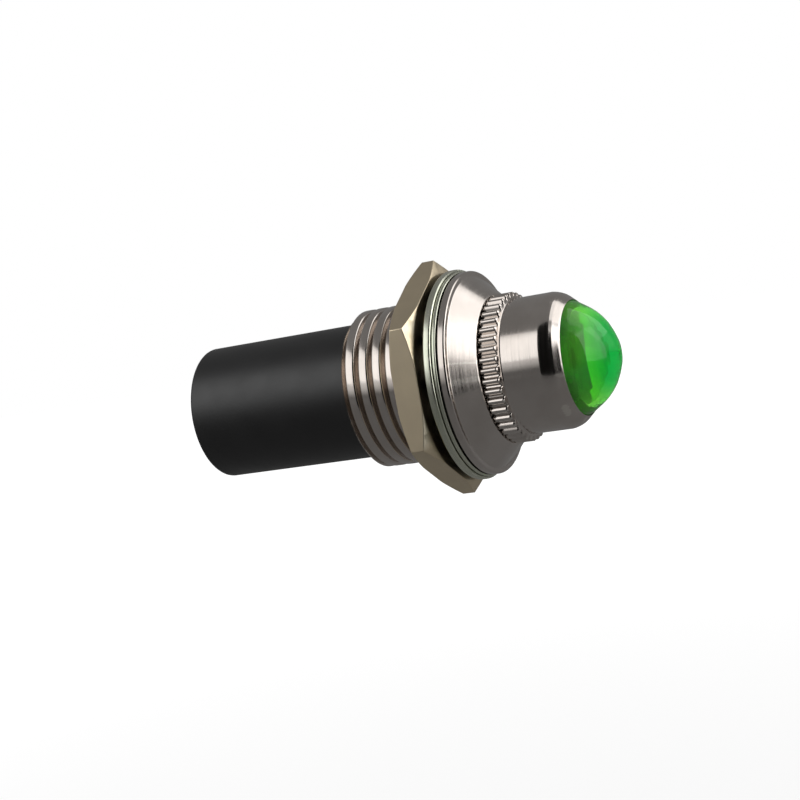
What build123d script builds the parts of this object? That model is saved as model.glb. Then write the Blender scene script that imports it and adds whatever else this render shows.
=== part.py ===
from build123d import *
import math
import os

# Panel pilot light with a bayonet lamp behind a screwed lens cap, in millimetres.
# The lamp axis lies along Y and the lens faces -Y. The origin is the middle of the seat, the rear
# face of the flange. "Forward" is a distance ahead of the seat, towards the lens, so what lies
# behind the panel has a forward value below zero.

os.makedirs("parts", exist_ok=True)

# Clearances
thread_gap = 0.06
slip_gap = 0.05
loose_gap = 0.12
contact_gap = 0.05
bedding_gap = 0.02

# Miniature bayonet lamp
lamp_base_diameter = 9.2
lamp_base_wall = 0.25
lamp_base_length = 10.5
lamp_length = 28.2
glass_bulge = 0.4
glass_wall = 0.5
glass_neck_length = 2.1
glass_shoulder_length = 1.4
bulb_stand_out = 1.05
stem_thickness = 1.0
lead_wire_diameter = 0.4
lead_wire_spacing = 2.4
lead_wire_length = 9.5
bead_diameter = 1.1
filament_diameter = 0.2
pin_diameter = 1.7
pin_reach = 0.85
pin_set_back = 4.7
insulator_height = 1.2
insulator_shoulder = 1.1
contact_height = 0.8
contact_diameter = 3.4
contact_stem_diameter = 1.3

# Drawn bayonet shell
shell_wall = 0.4
shell_flange_thickness = 0.4
lamp_slack = 0.15
push_travel = 1.0
lock_angle = 28.0

# Moulded body tube
tube_wall = 1.45
spigot_step = 0.6
tube_edge_round = 0.3
plate_ledge = 0.35
terminal_recess = 6.9

# Bushing: flange, cone, panel thread and the neck that takes the cap
barrel_wall = 0.86
thread_depth = 0.97
thread_pitch = 25.4 / 16
thread_relief = 1.0
thread_lead_in = 0.45
barrel_length = 12.6
shoulder_depth = 2.0
flange_overhang = 2.27
flange_thickness = 0.85
flange_round = 0.2
cone_step = 0.58
cone_length = 2.3
cone_overhang = 0.1
neck_wall = 0.9
neck_length = 5.0
neck_thread_depth = 0.4
neck_pitch = 25.4 / 32

# Cap, lens and seals
cap_wall = 0.72
cap_seat_gap = 0.06
knurl_height = 0.74
knurl_length = 1.79
knurl_count = 44
knurl_depth = 0.42
knurl_edge = 0.15
knurl_fall = 0.15
knurl_blend = 0.6
lip_length = 1.15
lip_reach = 0.44
lip_round_length = 1.75
lip_fall = 1.06
seal_section = 0.76
seal_groove_width = 0.95
lens_flange_thickness = 0.9
lens_wall = 1.09
lens_height = 4.3
lens_crown = 1.3
retainer_thickness = 0.8
retainer_band = 1.1
gasket_thickness = 0.5
gasket_band = 0.75

# Panel hardware
panel_gasket_thickness = 0.16
panel_gasket_inset = 0.2
flat_washer_band = 2.4
lock_washer_band = 2.67
flat_washer_thickness = 0.46
lock_washer_thickness = 0.86
lock_rim_width = 1.5
lock_tooth_count = 12
lock_tooth_width = 1.8
lock_tooth_thickness = 0.8
lock_tooth_twist = 42.0
nut_wall = 2.3825
nut_thickness = 2.8
nut_chamfer = 0.7
nut_chamfer_reach = 1.53
nut_countersink = 0.3

# Contact, terminals and their plate
button_diameter = 3.8
button_thickness = 0.7
button_stem_diameter = 1.8
button_stem_length = 2.4
disc_thickness = 1.0
spring_room = 3.65
spring_wire_diameter = 0.4
spring_mean_diameter = 4.0
spring_turns = 4.5
plate_thickness = 1.2
rivet_shank_diameter = 1.6
rivet_head_diameter = 2.8
rivet_head_thickness = 0.45
lug_thickness = 0.4
lug_width = 2.8
lug_length = 4.0
lug_reach = 3.4
lug_hole_diameter = 1.4
lug_hole_set_back = 1.3
ring_thickness = 0.5
ring_band = 0.95
ring_groove_depth = 0.35
ring_gap_angle = 60.0
ring_ear_diameter = 1.6
ring_ear_hole = 0.7

# Radii, from the lamp outwards
base_radius = lamp_base_diameter / 2
glass_radius = base_radius + glass_bulge
pin_tip_radius = base_radius + pin_reach
shell_bore_radius = base_radius + lamp_slack
shell_radius = shell_bore_radius + shell_wall
mouth_bore_radius = max(pin_tip_radius, glass_radius) + slip_gap
mouth_radius = mouth_bore_radius + shell_wall
passage_radius = max(pin_tip_radius, glass_radius) + lamp_slack
tube_bore_radius = mouth_radius + slip_gap * 2
tube_radius = tube_bore_radius + tube_wall
spigot_radius = tube_radius - spigot_step
barrel_bore_radius = spigot_radius + slip_gap
root_radius = barrel_bore_radius + barrel_wall
thread_radius = root_radius + thread_depth
flange_radius = thread_radius + flange_overhang
cone_base_radius = flange_radius - cone_step
neck_radius = passage_radius + neck_wall
neck_root_radius = neck_radius - neck_thread_depth
cap_bore_radius = neck_radius + thread_gap
cap_radius = cap_bore_radius + cap_wall
knurl_radius = cap_radius + knurl_height
cone_front_radius = knurl_radius + cone_overhang
lip_radius = cap_bore_radius - lip_reach
lens_radius = lip_radius - slip_gap
lens_flange_radius = cap_bore_radius - slip_gap
seal_ring_radius = neck_root_radius + bedding_gap + seal_section / 2
seal_bore_radius = seal_ring_radius + seal_section / 2 + slip_gap
plate_bore_radius = tube_bore_radius + plate_ledge

# Places along the axis, all as forward distances
cone_base = flange_thickness
cone_front = cone_base + cone_length
neck_front = cone_front + neck_length
cap_rear = cone_front + cap_seat_gap
knurl_front = cap_rear + knurl_length
gasket_front = neck_front + gasket_thickness
retainer_front = gasket_front + retainer_thickness
lens_seat = retainer_front + lens_flange_thickness
lip_front = lens_seat + lip_length
lens_tip = lip_front + lens_height
bulb_tip = neck_front + bulb_stand_out
lamp_rear = bulb_tip - lamp_length
base_rear = lamp_rear + contact_height + insulator_height
base_front = base_rear + lamp_base_length
pin_forward = base_rear + pin_set_back
glass_rear = base_front - glass_neck_length
glass_shoulder = base_front + glass_shoulder_length
shell_step = base_front - loose_gap * 4
button_front = lamp_rear - contact_gap
disc_front = button_front - button_thickness
disc_rear = disc_front - disc_thickness
plate_front = disc_rear - spring_room
plate_rear = plate_front - plate_thickness
lug_rear = plate_rear - lug_length
tube_rear = plate_rear - terminal_recess
washer_front = -panel_gasket_thickness
lock_front = washer_front - flat_washer_thickness
twist = math.radians(lock_tooth_twist)
tooth_height = lock_tooth_width * math.sin(twist) + lock_tooth_thickness * math.cos(twist)
nut_front = lock_front - tooth_height - bedding_gap
nut_rear = nut_front - nut_thickness

# Plane of a turned section: local x is forward, local y is the radius
section = Plane(origin=(0, 0, 0), x_dir=(0, -1, 0), z_dir=(-1, 0, 0))


def facing(forward):
    """Plane square to the axis that looks forward, with local y up."""
    return Plane(origin=(0, -forward, 0), x_dir=(1, 0, 0), z_dir=(0, -1, 0))


def turned_ring(rear, front, inner, outer):
    """Plain ring about the axis, with its rear, front and two radii given."""
    with BuildPart() as ring:
        with BuildSketch(facing(rear)):
            Circle(outer)
            Circle(inner, mode=Mode.SUBTRACT)
        extrude(amount=front - rear)
    return ring.part


def screw_thread(major, root, pitch, rear, front, lead_in):
    """Helical ridge of a right-hand thread, with its rear end cut to a lead-in cone."""
    sunk = 0.1
    foot = pitch * 0.44
    crest = pitch * 0.1
    with BuildPart() as ridge:
        with BuildLine():
            path = Helix(
                pitch=pitch,
                height=front - rear + 0.5 * pitch,
                radius=root,
                center=(0, -front, 0),
                direction=(0, 1, 0),
            )
        start = path @ 0
        outwards = Vector(start.X, 0, start.Z)
        with BuildSketch(Plane(origin=start, x_dir=outwards, z_dir=path % 0)):
            with BuildLine():
                Polyline(
                    (-sunk, -foot),
                    (-sunk, foot),
                    (major - root, crest),
                    (major - root, -crest),
                    close=True,
                )
            make_face()
        sweep(path=path, is_frenet=True)
        end = rear + bedding_gap
        with BuildSketch(section):
            with BuildLine():
                Polyline(
                    (end, root - 2 * sunk),
                    (end, major - lead_in),
                    (end + lead_in + sunk, major + sunk),
                    (front - pitch * 0.4, major + sunk),
                    (front + pitch * 0.4, root - 2 * sunk),
                    close=True,
                )
            make_face()
        revolve(axis=Axis.Y, mode=Mode.INTERSECT)
    return ridge.part


def rims(solid, radius):
    """Round edges of one radius about the lamp axis."""
    found = solid.edges().filter_by(GeomType.CIRCLE)
    return found.filter_by(lambda e: abs(e.radius - radius) < 0.001)


# Bushing, turned in one piece
with BuildPart() as bushing:
    with BuildSketch(section):
        with BuildLine():
            Polyline(
                (-barrel_length, barrel_bore_radius),
                (-barrel_length, root_radius),
                (0, root_radius),
                (0, flange_radius),
                (cone_base, flange_radius),
                (cone_base, cone_base_radius),
                (cone_front, cone_front_radius),
                (cone_front, neck_root_radius),
                (neck_front, neck_root_radius),
                (neck_front, passage_radius),
                (-shoulder_depth, passage_radius),
                (-shoulder_depth, barrel_bore_radius),
                close=True,
            )
        make_face()
    revolve(axis=Axis.Y)
    fillet(rims(bushing, flange_radius), flange_round)
    add(
        screw_thread(
            thread_radius,
            root_radius,
            thread_pitch,
            -barrel_length,
            -thread_relief,
            thread_lead_in,
        )
    )
    neck_thread = screw_thread(
        neck_radius,
        neck_root_radius,
        neck_pitch,
        -neck_front,
        -cone_front - seal_groove_width,
        neck_thread_depth / 2,
    )
    add(neck_thread.rotate(Axis.Z, 180))
bushing.part.label = "bushing"
export_step(bushing.part, "parts/bushing.step")

# Seal in the groove at the foot of the neck
with BuildPart() as cap_seal:
    with BuildSketch(section):
        with Locations((cone_front + seal_groove_width / 2, seal_ring_radius)):
            Circle(seal_section / 2)
    revolve(axis=Axis.Y)
cap_seal.part.label = "cap_seal"
export_step(cap_seal.part, "parts/cap_seal.step")

# Lens cap: milled grip, shoulder and rolled lip
with BuildPart() as lens_cap:
    with BuildSketch(section):
        with BuildLine():
            grip_end = (knurl_front + knurl_fall, knurl_radius - knurl_fall)
            body_start = (knurl_front + knurl_blend, cap_radius)
            blend_middle = (
                knurl_front + (knurl_fall + knurl_blend) * 0.45,
                cap_radius + (knurl_height - knurl_fall) * 0.33,
            )
            lip_start = (lip_front - lip_round_length, cap_radius)
            lip_middle = (lip_front - lip_round_length * 0.39, cap_radius - lip_fall * 0.49)
            lip_nose = (lip_front - lip_reach * 0.15, cap_radius - lip_fall)
            counterbore_end = cap_rear + seal_groove_width
            Polyline(
                (counterbore_end, cap_bore_radius),
                (counterbore_end, seal_bore_radius),
                (cap_rear, seal_bore_radius),
                (cap_rear, knurl_radius - knurl_edge),
                (cap_rear + knurl_edge, knurl_radius),
                (knurl_front, knurl_radius),
                grip_end,
            )
            ThreePointArc(grip_end, blend_middle, body_start)
            Line(body_start, lip_start)
            ThreePointArc(lip_start, lip_middle, lip_nose)
            Polyline(
                lip_nose,
                (lip_front, lip_radius),
                (lens_seat, lip_radius),
                (lens_seat, cap_bore_radius),
                (counterbore_end, cap_bore_radius),
            )
        make_face()
    revolve(axis=Axis.Y)
    knurl_space = 2 * math.pi * knurl_radius / knurl_count
    with BuildSketch(facing(cap_rear)):
        with PolarLocations(knurl_radius - knurl_depth, knurl_count):
            Polygon(
                (0, -knurl_space * 0.13),
                (knurl_depth * 2, -knurl_space * 0.27),
                (knurl_depth * 2, knurl_space * 0.27),
                (0, knurl_space * 0.13),
                align=None,
            )
    extrude(amount=knurl_length + knurl_fall, mode=Mode.SUBTRACT)
lens_cap.part.label = "lens_cap"
export_step(lens_cap.part, "parts/lens_cap.step")

# Lens: hollow dome with a flange that the lip holds
with BuildPart() as lens:
    with BuildSketch(section):
        with BuildLine():
            inner_radius = lens_radius - lens_wall
            inner_tip = lens_tip - lens_crown
            dome_start = (lip_front, lens_radius)
            hollow_start = (lip_front + lens_crown * 0.2, inner_radius)
            Polyline(
                (retainer_front, inner_radius),
                (retainer_front, lens_flange_radius),
                (lens_seat, lens_flange_radius),
                (lens_seat, lens_radius),
                dome_start,
            )
            Spline(
                dome_start,
                (lip_front + lens_height * 0.307, lens_radius * 0.865),
                (lip_front + lens_height * 0.656, lens_radius * 0.6425),
                (lip_front + lens_height * 0.888, lens_radius * 0.341),
                (lens_tip, 0),
                tangents=((1, -0.6), (0, -1)),
            )
            Line((lens_tip, 0), (inner_tip, 0))
            Spline(
                (inner_tip, 0),
                (lip_front + (inner_tip - lip_front) * 0.72, inner_radius * 0.62),
                hollow_start,
                tangents=((0, 1), (-1, 0.15)),
            )
            Line(hollow_start, (retainer_front, inner_radius))
        make_face()
    revolve(axis=Axis.Y)
lens.part.label = "lens"
export_step(lens.part, "parts/lens.step")

# Ring pressed into the cap behind the lens, and the soft washer that seals on the neck
with BuildPart() as lens_retainer:
    retainer_outer = cap_bore_radius - bedding_gap
    add(turned_ring(gasket_front, retainer_front, retainer_outer - retainer_band, retainer_outer))
lens_retainer.part.label = "lens_retainer"
export_step(lens_retainer.part, "parts/lens_retainer.step")

with BuildPart() as lens_gasket:
    gasket_outer = cap_bore_radius - slip_gap * 2
    add(turned_ring(neck_front, gasket_front, gasket_outer - gasket_band, gasket_outer))
lens_gasket.part.label = "lens_gasket"
export_step(lens_gasket.part, "parts/lens_gasket.step")

# Panel gasket and flat washer
with BuildPart() as panel_gasket:
    gasket_edge = flange_radius - panel_gasket_inset
    add(turned_ring(washer_front, 0, thread_radius + loose_gap, gasket_edge))
panel_gasket.part.label = "panel_gasket"
export_step(panel_gasket.part, "parts/panel_gasket.step")

flat_washer_radius = thread_radius + flat_washer_band
with BuildPart() as flat_washer:
    add(turned_ring(lock_front, washer_front, thread_radius + loose_gap, flat_washer_radius))
    fillet(rims(flat_washer, flat_washer_radius), flat_washer_thickness / 4)
flat_washer.part.label = "flat_washer"
export_step(flat_washer.part, "parts/flat_washer.step")

# Lock washer: flat in its rim, the inner teeth twist towards their tips and hold the nut off it
tooth_middle = lock_front - tooth_height / 2
rim_middle = lock_front - lock_washer_thickness / 2
lock_radius = thread_radius + lock_washer_band
rim_inner = lock_radius - lock_rim_width
with BuildPart() as lock_washer:
    add(turned_ring(lock_front - lock_washer_thickness, lock_front, rim_inner, lock_radius))
    fillet(rims(lock_washer, lock_radius), lock_washer_thickness / 4)
    tip_plane = Plane(
        origin=(0, -tooth_middle, thread_radius + loose_gap - slip_gap),
        x_dir=(math.cos(twist), math.sin(twist), 0),
        z_dir=(0, 0, 1),
    )
    root_plane = Plane(
        origin=(0, -rim_middle, rim_inner + lock_rim_width / 4),
        x_dir=(1, 0, 0),
        z_dir=(0, 0, 1),
    )
    with BuildPart(mode=Mode.PRIVATE) as tooth:
        for end_plane in (tip_plane, root_plane):
            with BuildSketch(end_plane):
                Rectangle(lock_tooth_width, lock_tooth_thickness)
        loft(ruled=True)
    for index in range(lock_tooth_count):
        add(tooth.part.rotate(Axis.Y, 360 / lock_tooth_count * index))
    with BuildSketch(facing(nut_front)):
        Circle(thread_radius + loose_gap)
    extrude(amount=tooth_height * 2, mode=Mode.SUBTRACT)
lock_washer.part.label = "lock_washer"
export_step(lock_washer.part, "parts/lock_washer.step")

# Hex nut, one corner up, with both faces chamfered
nut_flat_radius = thread_radius + nut_wall
nut_corner_radius = nut_flat_radius / math.cos(math.pi / 6)
with BuildPart() as hex_nut:
    with BuildSketch(facing(nut_rear)):
        RegularPolygon(nut_flat_radius, 6, major_radius=False, rotation=90)
    extrude(amount=nut_thickness)
    with BuildSketch(section):
        with BuildLine():
            Polyline(
                (nut_rear, 0),
                (nut_rear, nut_corner_radius - nut_chamfer_reach),
                (nut_rear + nut_chamfer, nut_corner_radius),
                (nut_front - nut_chamfer, nut_corner_radius),
                (nut_front, nut_corner_radius - nut_chamfer_reach),
                (nut_front, 0),
                close=True,
            )
        make_face()
    revolve(axis=Axis.Y, mode=Mode.INTERSECT)
    with BuildSketch(facing(nut_rear)):
        Circle(thread_radius + thread_gap)
    extrude(amount=nut_thickness, mode=Mode.SUBTRACT)
    chamfer(rims(hex_nut, thread_radius + thread_gap), nut_countersink)
hex_nut.part.label = "hex_nut"
export_step(hex_nut.part, "parts/hex_nut.step")

# Body tube: spigot in the bushing, long bore, ledge for the terminal plate and a ring groove
spigot_front = -shoulder_depth - shell_flange_thickness
with BuildPart() as body_tube:
    with BuildSketch(section):
        with BuildLine():
            Polyline(
                (spigot_front, tube_bore_radius),
                (spigot_front, spigot_radius),
                (-barrel_length, spigot_radius),
                (-barrel_length, tube_radius),
                (tube_rear, tube_radius),
                (tube_rear, plate_bore_radius),
                (plate_rear - ring_thickness - bedding_gap, plate_bore_radius),
                (plate_rear - ring_thickness - bedding_gap, plate_bore_radius + ring_groove_depth),
                (plate_rear, plate_bore_radius + ring_groove_depth),
                (plate_rear, plate_bore_radius),
                (plate_front, plate_bore_radius),
                (plate_front, tube_bore_radius),
                close=True,
            )
        make_face()
    revolve(axis=Axis.Y)
    rear_edges = body_tube.edges().filter_by(GeomType.CIRCLE).group_by(Axis.Y)[-1]
    fillet(rear_edges.sort_by(SortBy.RADIUS)[-1], tube_edge_round)
    inner_edge = body_tube.edges().filter_by(GeomType.CIRCLE).group_by(Axis.Y)[-1]
    chamfer(inner_edge.sort_by(SortBy.RADIUS)[0], tube_edge_round / 2)
body_tube.part.label = "body_tube"
export_step(body_tube.part, "parts/body_tube.step")

# Bayonet shell, drawn in steps, with two hooked slots and its own solder tab
tab_middle = shell_bore_radius + shell_wall / 2
pin_slot = pin_diameter + lamp_slack
entry_offset = tab_middle * math.sin(math.radians(lock_angle))
slot_floor = pin_forward - push_travel - pin_slot / 2
with BuildPart() as socket_shell:
    with BuildSketch(section):
        with BuildLine():
            Polyline(
                (plate_front, shell_bore_radius),
                (plate_front, shell_radius),
                (shell_step - shell_wall, shell_radius),
                (shell_step - shell_wall, mouth_radius),
                (spigot_front, mouth_radius),
                (spigot_front, spigot_radius - slip_gap),
                (-shoulder_depth, spigot_radius - slip_gap),
                (-shoulder_depth, mouth_bore_radius),
                (shell_step, mouth_bore_radius),
                (shell_step, shell_bore_radius),
                close=True,
            )
        make_face()
    revolve(axis=Axis.Y)
    # Slot seen along X: in from the step, across at the floor, and back up into the hook
    for side in (1, -1):
        slot_plane = Plane(origin=(0, 0, 0), x_dir=(0, -1, 0), z_dir=(side, 0, 0))
        with BuildSketch(slot_plane):
            half = pin_slot / 2
            with BuildLine():
                Polyline(
                    (shell_step, entry_offset - half),
                    (shell_step, entry_offset + half),
                    (slot_floor, entry_offset + half),
                    (slot_floor, -half),
                    (pin_forward, -half),
                    (pin_forward, half),
                    (slot_floor + pin_slot, half),
                    (slot_floor + pin_slot, entry_offset - half),
                    close=True,
                )
            make_face()
            with Locations((pin_forward, 0)):
                Circle(half)
        extrude(amount=mouth_radius * 1.2, mode=Mode.SUBTRACT)
    with BuildSketch(facing(plate_front + lug_width)):
        with Locations((-tab_middle, 0)):
            Rectangle(shell_wall * 0.9, lug_width * 0.9)
    extrude(amount=lug_rear - plate_front - lug_width)
    with BuildSketch(Plane(origin=(0, 0, 0), x_dir=(0, -1, 0), z_dir=(-1, 0, 0))):
        with Locations((lug_rear + lug_hole_set_back, 0)):
            Circle(lug_hole_diameter / 2)
    extrude(amount=tab_middle * 1.2, mode=Mode.SUBTRACT)
    tab_corners = socket_shell.edges().filter_by(Axis.X).group_by(Axis.Y)[-1]
    fillet(tab_corners, lug_width / 4)
socket_shell.part.label = "socket_shell"
export_step(socket_shell.part, "parts/socket_shell.step")

# Lamp: glass envelope, open at its stem
with BuildPart() as glass_bulb:
    with BuildSketch(section):
        with BuildLine():
            neck_outer = base_radius - lamp_base_wall - slip_gap
            neck_inner = neck_outer - glass_wall
            dome_back = bulb_tip - glass_radius
            hollow_radius = glass_radius - glass_wall
            Polyline(
                (glass_rear, neck_inner),
                (glass_rear, neck_outer),
                (base_front, neck_outer),
                (glass_shoulder, glass_radius),
                (dome_back, glass_radius),
            )
            RadiusArc((dome_back, glass_radius), (bulb_tip, 0), glass_radius)
            Line((bulb_tip, 0), (bulb_tip - glass_wall, 0))
            RadiusArc((bulb_tip - glass_wall, 0), (dome_back, hollow_radius), -hollow_radius)
            Polyline(
                (dome_back, hollow_radius),
                (glass_shoulder, hollow_radius),
                (base_front, neck_inner),
                (glass_rear, neck_inner),
            )
        make_face()
    revolve(axis=Axis.Y)
glass_bulb.part.label = "glass_bulb"
export_step(glass_bulb.part, "parts/glass_bulb.step")

# Stem with its two lead wires, bead and filament
with BuildPart() as filament_mount:
    with BuildSketch(facing(glass_rear)):
        Circle(neck_inner - bedding_gap)
    extrude(amount=stem_thickness)
    stem_front = glass_rear + stem_thickness
    with BuildSketch(facing(stem_front - lead_wire_diameter)):
        with GridLocations(lead_wire_spacing, 0, 2, 1):
            Circle(lead_wire_diameter / 2)
    extrude(amount=lead_wire_length)
    wire_front = stem_front - lead_wire_diameter + lead_wire_length
    with BuildSketch(Plane.YZ.offset(-lead_wire_spacing / 2 - bead_diameter / 4)):
        with Locations((-(stem_front + wire_front) / 2, 0)):
            Circle(bead_diameter / 2)
    extrude(amount=lead_wire_spacing + bead_diameter / 2)
    with BuildSketch(Plane.YZ.offset(-lead_wire_spacing / 2)):
        with Locations((-(wire_front - filament_diameter), 0)):
            Circle(filament_diameter / 2)
    extrude(amount=lead_wire_spacing)
filament_mount.part.label = "filament_mount"
export_step(filament_mount.part, "parts/filament_mount.step")

# Lamp base with its two pins
insulator_rear = base_rear - insulator_height
insulator_seat = base_rear + lamp_base_wall
insulator_neck_radius = base_radius - insulator_shoulder
with BuildPart() as lamp_base:
    with BuildSketch(section):
        with BuildLine():
            Polyline(
                (base_rear, insulator_neck_radius + bedding_gap),
                (base_rear, base_radius),
                (base_front, base_radius),
                (base_front, base_radius - lamp_base_wall),
                (insulator_seat, base_radius - lamp_base_wall),
                (insulator_seat, insulator_neck_radius + bedding_gap),
                close=True,
            )
        make_face()
    revolve(axis=Axis.Y)
    for side in (1, -1):
        pin_foot = base_radius - lamp_base_wall * 0.8
        with BuildSketch(Plane(origin=(side * pin_foot, 0, 0), x_dir=(0, -1, 0), z_dir=(side, 0, 0))):
            with Locations((pin_forward, 0)):
                Circle(pin_diameter / 2)
        extrude(amount=pin_tip_radius - pin_foot)
    chamfer(rims(lamp_base, pin_diameter / 2).group_by(Axis.X)[0], pin_diameter / 10)
    chamfer(rims(lamp_base, pin_diameter / 2).group_by(Axis.X)[-1], pin_diameter / 10)
lamp_base.part.label = "lamp_base"
export_step(lamp_base.part, "parts/lamp_base.step")

# Glass insulator in the base, and the soldered end contact through it
contact_stem_radius = contact_stem_diameter / 2
insulator_front = insulator_seat + insulator_shoulder
with BuildPart() as base_insulator:
    with BuildSketch(section):
        with BuildLine():
            Polyline(
                (insulator_rear, contact_stem_radius + bedding_gap),
                (insulator_rear, contact_diameter / 2 + insulator_height / 4),
                (base_rear, insulator_neck_radius),
                (insulator_seat, insulator_neck_radius),
                (insulator_seat, base_radius - lamp_base_wall - bedding_gap),
                (insulator_front, base_radius - lamp_base_wall - bedding_gap),
                (insulator_front, contact_stem_radius + bedding_gap),
                close=True,
            )
        make_face()
    revolve(axis=Axis.Y)
base_insulator.part.label = "base_insulator"
export_step(base_insulator.part, "parts/base_insulator.step")

with BuildPart() as lamp_contact:
    with BuildSketch(section):
        with BuildLine():
            contact_radius = contact_diameter / 2
            dome_radius = (contact_radius**2 + contact_height**2) / (2 * contact_height)
            dome_depth = dome_radius - math.sqrt(dome_radius**2 - contact_radius**2 / 4)
            dome_middle = (lamp_rear + dome_depth, contact_radius / 2)
            Polyline(
                (lamp_rear, 0),
                (insulator_front, 0),
                (insulator_front, contact_stem_radius),
                (insulator_rear, contact_stem_radius),
                (insulator_rear, contact_radius),
            )
            ThreePointArc((insulator_rear, contact_radius), dome_middle, (lamp_rear, 0))
        make_face()
    revolve(axis=Axis.Y)
lamp_contact.part.label = "lamp_contact"
export_step(lamp_contact.part, "parts/lamp_contact.step")

# Sprung centre contact: button and stem, on a disc that slides in the shell
with BuildPart() as contact_button:
    with BuildSketch(facing(disc_front)):
        Circle(button_diameter / 2)
    extrude(amount=button_thickness)
    chamfer(rims(contact_button, button_diameter / 2).sort_by(Axis.Y)[0], button_thickness / 4)
    with BuildSketch(facing(disc_front - button_stem_length)):
        Circle(button_stem_diameter / 2)
    extrude(amount=button_stem_length)
contact_button.part.label = "contact_button"
export_step(contact_button.part, "parts/contact_button.step")

with BuildPart() as contact_disc:
    stem_hole = button_stem_diameter / 2 + bedding_gap
    add(turned_ring(disc_rear, disc_front, stem_hole, shell_bore_radius - slip_gap * 2))
contact_disc.part.label = "contact_disc"
export_step(contact_disc.part, "parts/contact_disc.step")

with BuildPart() as contact_spring:
    with BuildLine():
        wire_radius = spring_wire_diameter / 2
        coil_height = spring_room - spring_wire_diameter - 2 * bedding_gap
        coil = Helix(
            pitch=coil_height / spring_turns,
            height=coil_height,
            radius=spring_mean_diameter / 2,
            center=(0, -disc_rear + bedding_gap + wire_radius, 0),
            direction=(0, 1, 0),
        )
    with BuildSketch(Plane(origin=coil @ 0, z_dir=coil % 0)):
        Circle(wire_radius)
    sweep(path=coil, is_frenet=True)
contact_spring.part.label = "contact_spring"
export_step(contact_spring.part, "parts/contact_spring.step")

# Terminal plate with the rivet hole and the slot for the shell's tab
with BuildPart() as terminal_plate:
    with BuildSketch(facing(plate_rear)):
        Circle(plate_bore_radius - slip_gap)
        Circle(rivet_shank_diameter / 2 + bedding_gap, mode=Mode.SUBTRACT)
        with Locations((-tab_middle, 0)):
            Rectangle(
                shell_wall + 2 * slip_gap, lug_width * 0.9 + 2 * slip_gap, mode=Mode.SUBTRACT
            )
    extrude(amount=plate_thickness)
terminal_plate.part.label = "terminal_plate"
export_step(terminal_plate.part, "parts/terminal_plate.step")

# Centre terminal: a bent lug under the rivet
with BuildPart() as centre_terminal:
    with BuildSketch(facing(plate_rear - lug_thickness)):
        Circle(lug_width / 2)
        with Locations((lug_reach / 2, 0)):
            Rectangle(lug_reach, lug_width)
        Circle(rivet_shank_diameter / 2 + bedding_gap, mode=Mode.SUBTRACT)
    extrude(amount=lug_thickness)
    with BuildSketch(Plane.YZ.offset(lug_reach - lug_thickness)):
        with Locations((-(plate_rear + lug_rear) / 2, 0)):
            Rectangle(lug_length, lug_width)
        with Locations((-(lug_rear + lug_hole_set_back), 0)):
            Circle(lug_hole_diameter / 2, mode=Mode.SUBTRACT)
    extrude(amount=lug_thickness)
    lug_corners = centre_terminal.edges().filter_by(Axis.X).group_by(Axis.Y)[-1]
    fillet(lug_corners, lug_width / 3)
    bend = centre_terminal.edges().filter_by(Axis.Z).group_by(Axis.Y)[0].sort_by(Axis.X)[-1]
    fillet(bend, lug_thickness * 0.9)
centre_terminal.part.label = "centre_terminal"
export_step(centre_terminal.part, "parts/centre_terminal.step")

with BuildPart() as centre_rivet:
    rivet_rear = plate_rear - lug_thickness
    with BuildSketch(facing(rivet_rear)):
        Circle(rivet_shank_diameter / 2)
    extrude(amount=plate_front - rivet_rear)
    with BuildSketch(facing(plate_front)):
        Circle(rivet_head_diameter / 2)
    extrude(amount=rivet_head_thickness, taper=20)
    with BuildSketch(facing(rivet_rear)):
        Circle(rivet_head_diameter / 2 * 0.9)
    extrude(amount=-rivet_head_thickness, taper=20)
centre_rivet.part.label = "centre_rivet"
export_step(centre_rivet.part, "parts/centre_rivet.step")

# Sprung retaining ring, open at the bottom, with two ears for the pliers
ring_outer = plate_bore_radius + ring_groove_depth - slip_gap * 2
ring_inner = ring_outer - ring_band
ear_ring = ring_inner - ring_ear_diameter * 0.2
half_gap = ring_gap_angle / 2
ear_angle = half_gap + math.degrees(ring_ear_diameter * 0.5 / ear_ring)
with BuildPart() as retaining_ring:
    with BuildSketch(facing(plate_rear - ring_thickness)):
        Circle(ring_outer)
        Circle(ring_inner, mode=Mode.SUBTRACT)
        cut = 2 * ring_outer
        slope = math.radians(half_gap)
        with BuildLine():
            Polyline(
                (0, 0),
                (cut * math.sin(slope), -cut * math.cos(slope)),
                (-cut * math.sin(slope), -cut * math.cos(slope)),
                close=True,
            )
        make_face(mode=Mode.SUBTRACT)
        with PolarLocations(ear_ring, 2, start_angle=-90 - ear_angle, angular_range=4 * ear_angle):
            Circle(ring_ear_diameter / 2)
            Circle(ring_ear_hole / 2, mode=Mode.SUBTRACT)
    extrude(amount=ring_thickness)
retaining_ring.part.label = "retaining_ring"
export_step(retaining_ring.part, "parts/retaining_ring.step")
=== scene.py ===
"""Looks of a panel pilot light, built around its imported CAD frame.

The lamp axis lies along Y and the lens faces -Y. The origin is the middle of the seat, the rear
face of the flange. Sizes held by the classes are in millimetres: "forward" is a distance ahead of
the seat, towards the lens, and a radius is measured from the lamp axis.
"""

from __future__ import annotations

import logging
import math
from dataclasses import dataclass, field
from enum import Enum
from typing import Callable, Iterable, Sequence

import bmesh
import bpy
from mathutils import Matrix, Vector

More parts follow.
